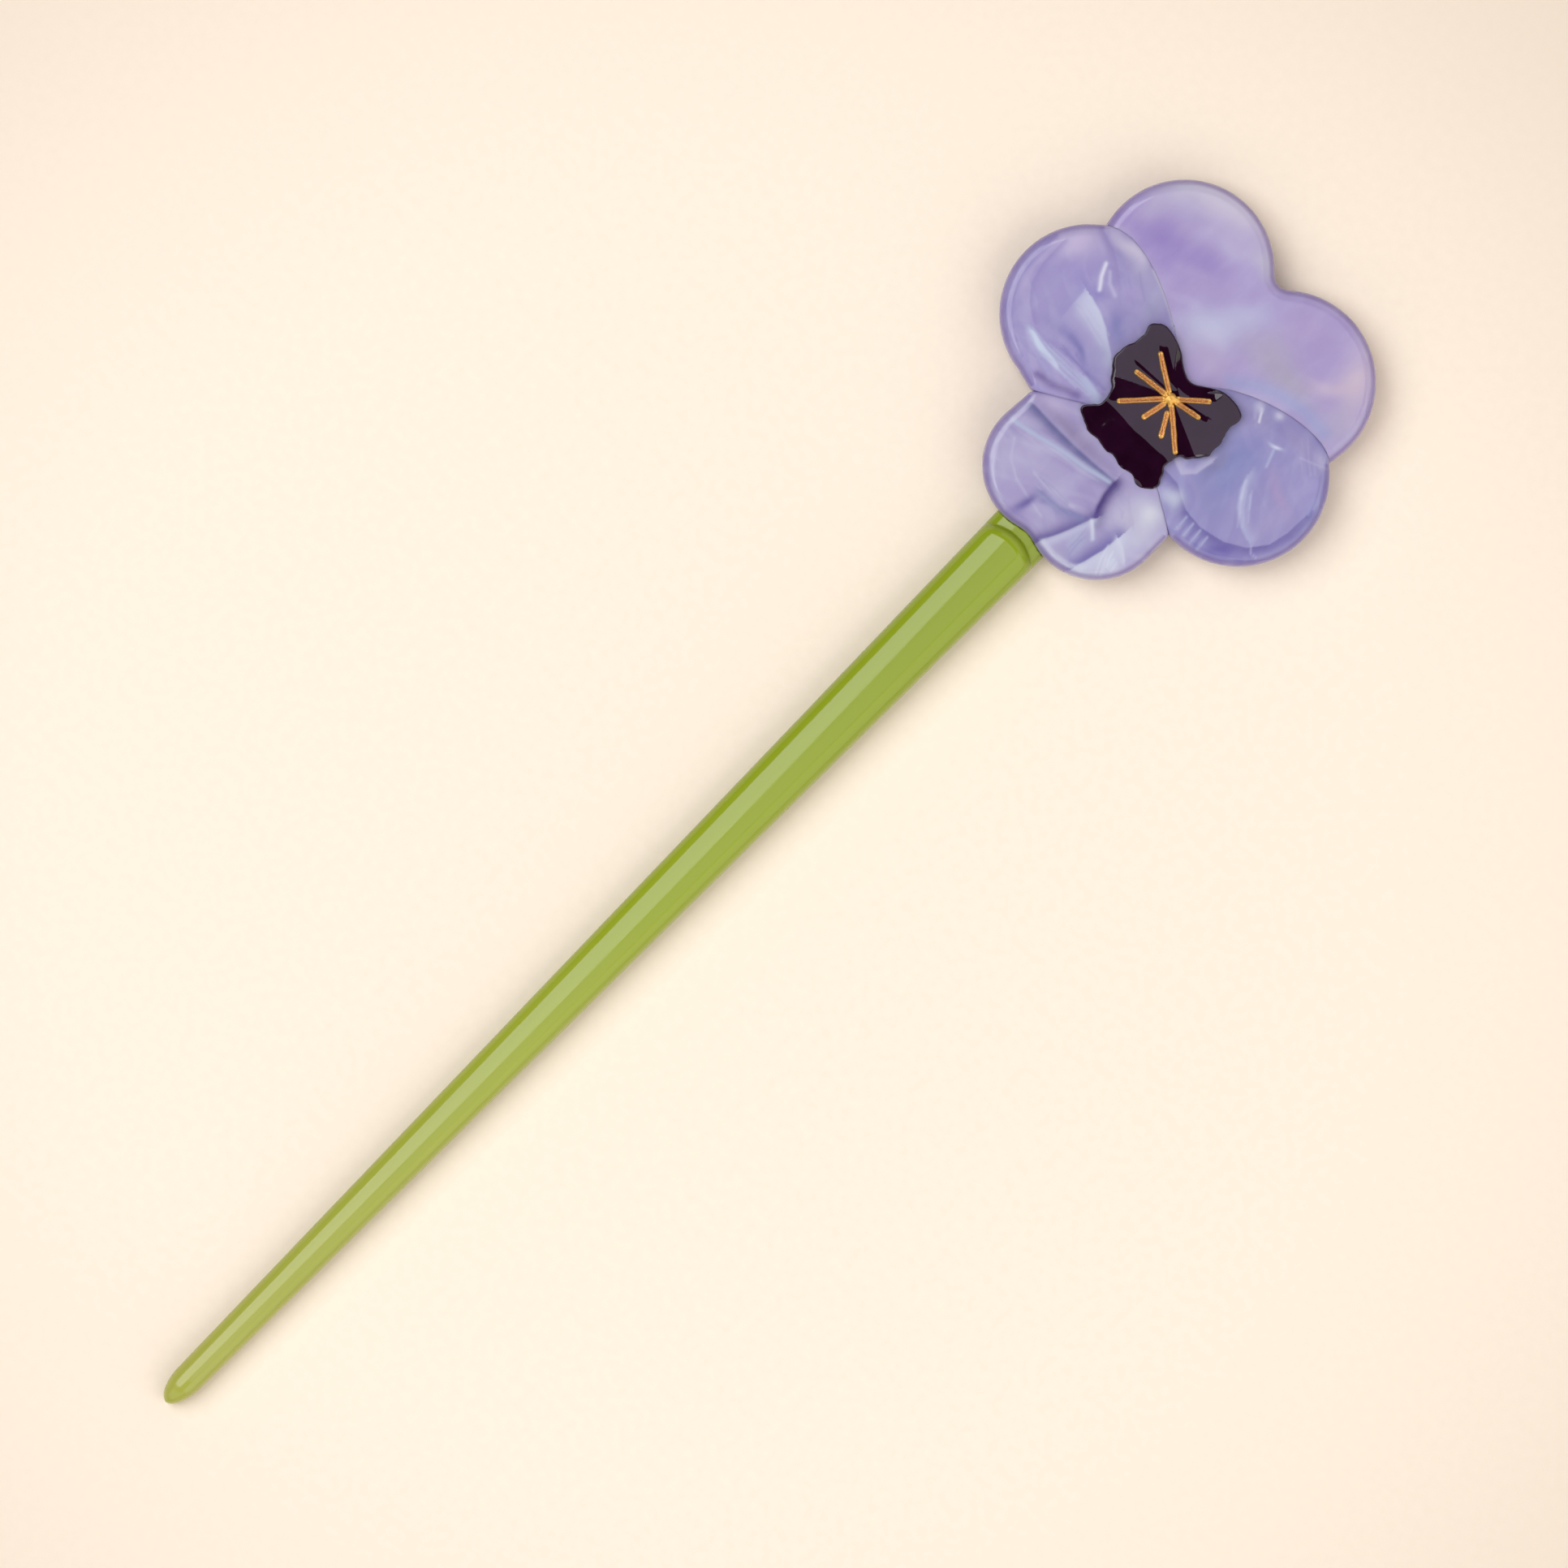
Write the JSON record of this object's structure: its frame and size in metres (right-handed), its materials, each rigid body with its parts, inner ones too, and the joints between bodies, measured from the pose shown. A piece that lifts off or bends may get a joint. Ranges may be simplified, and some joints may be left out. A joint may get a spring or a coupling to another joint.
{
  "type": "hair stick",
  "caption": "Tapered flat-backed hair stick carrying a pansy of layered pearly sheet petals, with a dark glossy enamel eye and raised gold stamens.",
  "frame": {"origin": "centre of the bounding box seen from above, on the plane of the stem's flat back", "axes": "+Y along the stem from its tip to the flower, +Z the way the flower's face looks, +X to the flower's right with the stem pointing down"},
  "size_m": [0.0422, 0.17, 0.0068],
  "materials": {
    "stem_green": "polished leaf-green cellulose acetate",
    "petal_pearl": "polished lilac pearl acetate with silky light and dark clouds",
    "eye_enamel": "poured glossy black-purple enamel",
    "stamen_gold": "fine glitter gold paint laid in raised beads"
  },
  "bodies": {
    "root": {"stem": "stem_green", "upper_petals": "petal_pearl", "left_side_petal": "petal_pearl", "right_side_petal": "petal_pearl", "lower_petal": "petal_pearl", "enamel_eye": "eye_enamel", "stamen_hub": "stamen_gold", "stamen_1": "stamen_gold", "stamen_2": "stamen_gold", "stamen_3": "stamen_gold", "stamen_4": "stamen_gold", "stamen_5": "stamen_gold", "stamen_6": "stamen_gold", "stamen_7": "stamen_gold", "stamen_8": "stamen_gold"}
  },
  "joints": []
}
